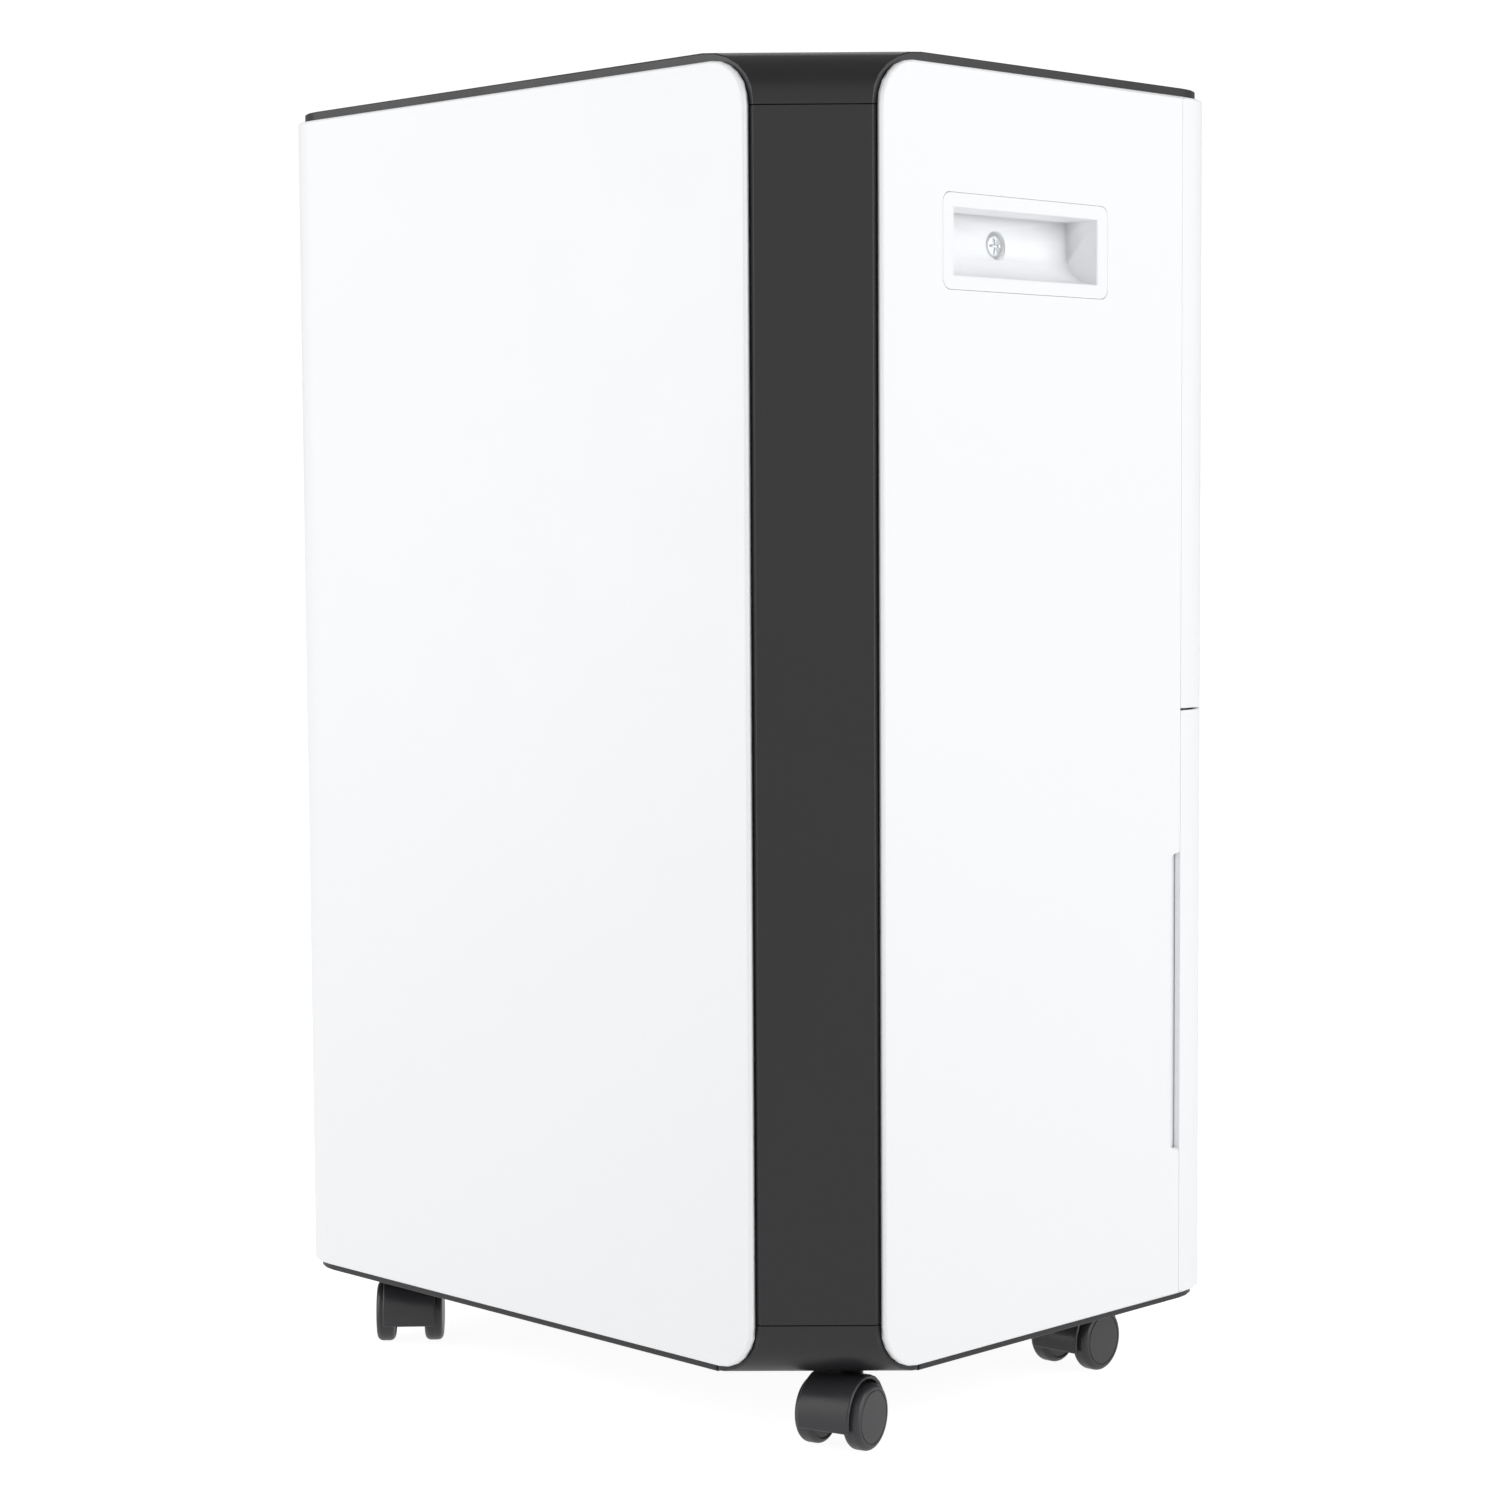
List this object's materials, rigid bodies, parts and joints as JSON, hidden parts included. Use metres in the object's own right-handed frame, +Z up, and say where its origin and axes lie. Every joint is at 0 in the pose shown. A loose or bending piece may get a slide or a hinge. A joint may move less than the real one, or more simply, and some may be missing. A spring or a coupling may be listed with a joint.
{
  "type": "portable dehumidifier",
  "caption": "Upright white box dehumidifier with a dark chamfered corner, recessed side handles, a rear slide-out tank and grille, top controls and louvre, on twin-wheel castors.",
  "frame": {"origin": "on the floor, under the centre of the body", "axes": "+Z up, +X to the right side panel, -Y to the front panel, +Y to the tank and the intake grille"},
  "size_m": [0.324, 0.244, 0.53],
  "materials": {
    "white_abs": "satin moulded",
    "charcoal_abs": "fine moulded texture",
    "castor_nylon": "moulded",
    "panel_gloss": "gloss",
    "smoked_lens": "smoked",
    "grey_plastic": "moulded",
    "tank_plastic": "translucent moulded",
    "zinc_steel": "zinc plated",
    "black_enamel": "enamel",
    "aluminium_fins": "mill",
    "copper_tube": "drawn copper tube",
    "rubber": "moulded",
    "filter_nylon": "woven mesh",
    "board_green": "solder mask",
    "float_foam": "foam"
  },
  "bodies": {
    "body": {"base_tray": "charcoal_abs", "base_corner_cap": "charcoal_abs", "corner_pillar": "charcoal_abs", "top_cover": "charcoal_abs", "front_panel": "white_abs", "right_side_panel": "white_abs", "left_side_panel": "white_abs", "rear_cover": "white_abs", "right_handle_cup": "white_abs", "left_handle_cup": "white_abs", "right_handle_screw": "zinc_steel", "left_handle_screw": "zinc_steel", "run_capacitor": "zinc_steel", "chassis": "grey_plastic", "outlet_grille": "grey_plastic", "drip_tray": "grey_plastic", "fan_housing": "grey_plastic", "electrical_box": "grey_plastic", "control_panel": "panel_gloss", "tank_switch": "panel_gloss", "display_lens": "smoked_lens", "control_board": "board_green", "compressor": "black_enamel", "suction_accumulator": "black_enamel", "fan_motor": "black_enamel", "compressor_foot_1": "rubber", "compressor_foot_2": "rubber", "compressor_foot_3": "rubber", "cord_gland": "rubber", "condenser": "aluminium_fins", "evaporator": "aluminium_fins", "discharge_pipe": "copper_tube", "suction_pipe": "copper_tube", "capillary_tube": "copper_tube"},
    "louvre": {"louvre_flap": "charcoal_abs"},
    "intake": {"intake_grille": "white_abs", "filter_screen": "filter_nylon"},
    "tank": {"tank_body": "tank_plastic", "tank_front": "white_abs", "tank_lid": "grey_plastic"},
    "tank_bail": {"tank_handle": "grey_plastic"},
    "float": {"tank_float": "float_foam"},
    "blower_wheel": {"fan_wheel": "grey_plastic"},
    "power_button": {"power_button": "grey_plastic"},
    "mode_button": {"mode_button": "grey_plastic"},
    "fan_speed_button": {"fan_speed_button": "grey_plastic"},
    "humidity_button": {"humidity_button": "grey_plastic"},
    "timer_button": {"timer_button": "grey_plastic"},
    "front_right_castor": {"front_right_castor_hood": "castor_nylon"},
    "front_right_left_wheel": {"front_right_castor_left_wheel": "castor_nylon"},
    "front_right_right_wheel": {"front_right_castor_right_wheel": "castor_nylon"},
    "front_left_castor": {"front_left_castor_hood": "castor_nylon"},
    "front_left_left_wheel": {"front_left_castor_left_wheel": "castor_nylon"},
    "front_left_right_wheel": {"front_left_castor_right_wheel": "castor_nylon"},
    "rear_right_castor": {"rear_right_castor_hood": "castor_nylon"},
    "rear_right_left_wheel": {"rear_right_castor_left_wheel": "castor_nylon"},
    "rear_right_right_wheel": {"rear_right_castor_right_wheel": "castor_nylon"},
    "rear_left_castor": {"rear_left_castor_hood": "castor_nylon"},
    "rear_left_left_wheel": {"rear_left_castor_left_wheel": "castor_nylon"},
    "rear_left_right_wheel": {"rear_left_castor_right_wheel": "castor_nylon"}
  },
  "joints": [
    {"name": "tank_slide", "type": "slide", "parent": "body", "child": "tank", "axis": [0, 1, 0], "range_m": [0, 0.11]},
    {"name": "tank_bail_hinge", "type": "hinge", "parent": "tank", "child": "tank_bail", "pos_m": [0, 0.071, 0.221], "axis": [-1, 0, 0], "range_deg": [0, 90]},
    {"name": "float_hinge", "type": "hinge", "parent": "tank", "child": "float", "pos_m": [-0.103, 0.05, 0.203], "axis": [1, 0, 0], "range_deg": [0, 18]},
    {"name": "louvre_hinge", "type": "hinge", "parent": "body", "child": "louvre", "pos_m": [0, 0.0429, 0.527], "axis": [-1, 0, 0], "range_deg": [0, 70]},
    {"name": "intake_grille_pull", "type": "slide", "parent": "body", "child": "intake", "axis": [0, 1, 0], "range_m": [0, 0.05]},
    {"name": "blower_spin", "type": "hinge", "parent": "body", "child": "blower_wheel", "pos_m": [0, -0.017, 0.385], "axis": [0, 1, 0], "continuous": true},
    {"name": "power_button_press", "type": "slide", "parent": "body", "child": "power_button", "axis": [0, 0, -1], "range_m": [0, 0.001], "stiffness_N_per_m": 600},
    {"name": "mode_button_press", "type": "slide", "parent": "body", "child": "mode_button", "axis": [0, 0, -1], "range_m": [0, 0.001], "stiffness_N_per_m": 600},
    {"name": "fan_speed_button_press", "type": "slide", "parent": "body", "child": "fan_speed_button", "axis": [0, 0, -1], "range_m": [0, 0.001], "stiffness_N_per_m": 600},
    {"name": "humidity_button_press", "type": "slide", "parent": "body", "child": "humidity_button", "axis": [0, 0, -1], "range_m": [0, 0.001], "stiffness_N_per_m": 600},
    {"name": "timer_button_press", "type": "slide", "parent": "body", "child": "timer_button", "axis": [0, 0, -1], "range_m": [0, 0.001], "stiffness_N_per_m": 600},
    {"name": "front_right_swivel", "type": "hinge", "parent": "body", "child": "front_right_castor", "pos_m": [0.1334, -0.0751, 0.03], "axis": [0, 0, 1], "continuous": true},
    {"name": "front_right_left_wheel_roll", "type": "hinge", "parent": "front_right_castor", "child": "front_right_left_wheel", "pos_m": [0.12511, -0.08568, 0.013], "axis": [0.9641, 0.2656, 0], "continuous": true},
    {"name": "front_right_right_wheel_roll", "type": "hinge", "parent": "front_right_castor", "child": "front_right_right_wheel", "pos_m": [0.14594, -0.07994, 0.013], "axis": [0.9641, 0.2656, 0], "continuous": true},
    {"name": "front_left_swivel", "type": "hinge", "parent": "body", "child": "front_left_castor", "pos_m": [-0.1172, -0.0911, 0.03], "axis": [0, 0, 1], "continuous": true},
    {"name": "front_left_left_wheel_roll", "type": "hinge", "parent": "front_left_castor", "child": "front_left_left_wheel", "pos_m": [-0.1186, -0.10447, 0.013], "axis": [0.6756, 0.7373, 0], "continuous": true},
    {"name": "front_left_right_wheel_roll", "type": "hinge", "parent": "front_left_castor", "child": "front_left_right_wheel", "pos_m": [-0.10401, -0.08854, 0.013], "axis": [0.6756, 0.7373, 0], "continuous": true},
    {"name": "rear_right_swivel", "type": "hinge", "parent": "body", "child": "rear_right_castor", "pos_m": [0.1226, 0.0801, 0.03], "axis": [0, 0, 1], "continuous": true},
    {"name": "rear_right_left_wheel_roll", "type": "hinge", "parent": "rear_right_castor", "child": "rear_right_left_wheel", "pos_m": [0.11252, 0.07121, 0.013], "axis": [0.9963, 0.0854, 0], "continuous": true},
    {"name": "rear_right_right_wheel_roll", "type": "hinge", "parent": "rear_right_castor", "child": "rear_right_right_wheel", "pos_m": [0.13404, 0.07305, 0.013], "axis": [0.9963, 0.0854, 0], "continuous": true},
    {"name": "rear_left_swivel", "type": "hinge", "parent": "body", "child": "rear_left_castor", "pos_m": [-0.1226, 0.0801, 0.03], "axis": [0, 0, 1], "continuous": true},
    {"name": "rear_left_left_wheel_roll", "type": "hinge", "parent": "rear_left_castor", "child": "rear_left_left_wheel", "pos_m": [-0.12921, 0.0684, 0.013], "axis": [0.9135, 0.4067, 0], "continuous": true},
    {"name": "rear_left_right_wheel_roll", "type": "hinge", "parent": "rear_left_castor", "child": "rear_left_right_wheel", "pos_m": [-0.10948, 0.07718, 0.013], "axis": [0.9135, 0.4067, 0], "continuous": true}
  ]
}
